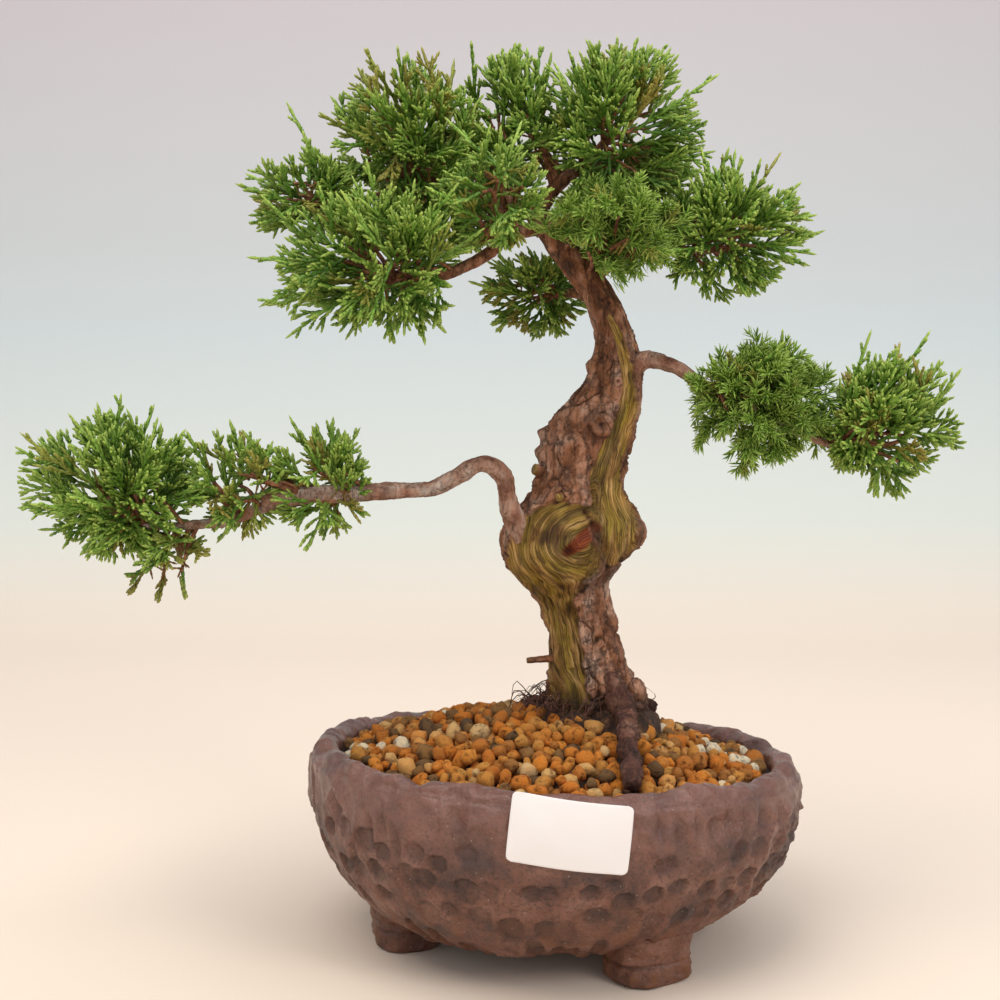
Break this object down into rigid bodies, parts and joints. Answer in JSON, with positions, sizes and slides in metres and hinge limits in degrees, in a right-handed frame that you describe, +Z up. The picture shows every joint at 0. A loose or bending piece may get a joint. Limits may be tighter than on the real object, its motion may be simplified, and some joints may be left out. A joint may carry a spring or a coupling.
{
  "type": "bonsai tree in a pot",
  "caption": "Juniper bonsai with a twisted trunk, one long low branch and a rounded crown, in granular soil in a rough hand-formed stoneware bowl on short feet.",
  "frame": {"origin": "middle of the whole object's box, on the surface that the bowl's feet stand on", "axes": "+Z up along the trunk; -Y towards the front, the side with the label; +X to the viewer's right, the side away from the long low branch"},
  "size_m": [0.3136, 0.1698, 0.308],
  "materials": {
    "clay": "satin",
    "drain_plastic": "satin",
    "wire": "satin",
    "granules": "matte",
    "root_mass": "matte",
    "bark": "matte",
    "label_paper": "satin",
    "scale_foliage": "matte",
    "needle_foliage": "matte"
  },
  "bodies": {
    "root": {"pot": "clay", "drain_mesh": "drain_plastic", "mesh_staple": "wire", "soil_bed": "granules", "root_ball": "root_mass", "trunk": "bark", "blank_label": "label_paper", "left_tip_foliage": "scale_foliage", "left_middle_foliage": "scale_foliage", "left_inner_foliage": "scale_foliage", "left_hanging_foliage": "scale_foliage", "right_inner_foliage": "needle_foliage", "right_tip_foliage": "scale_foliage", "crown_left_foliage": "scale_foliage", "crown_upper_left_foliage": "scale_foliage", "crown_lower_left_foliage": "scale_foliage", "crown_top_foliage": "scale_foliage", "crown_upper_right_foliage": "scale_foliage", "crown_right_foliage": "scale_foliage", "crown_middle_foliage": "needle_foliage", "crown_front_foliage": "scale_foliage", "crown_underside_foliage": "scale_foliage", "crown_back_left_foliage": "scale_foliage", "crown_back_right_foliage": "scale_foliage"}
  },
  "joints": []
}
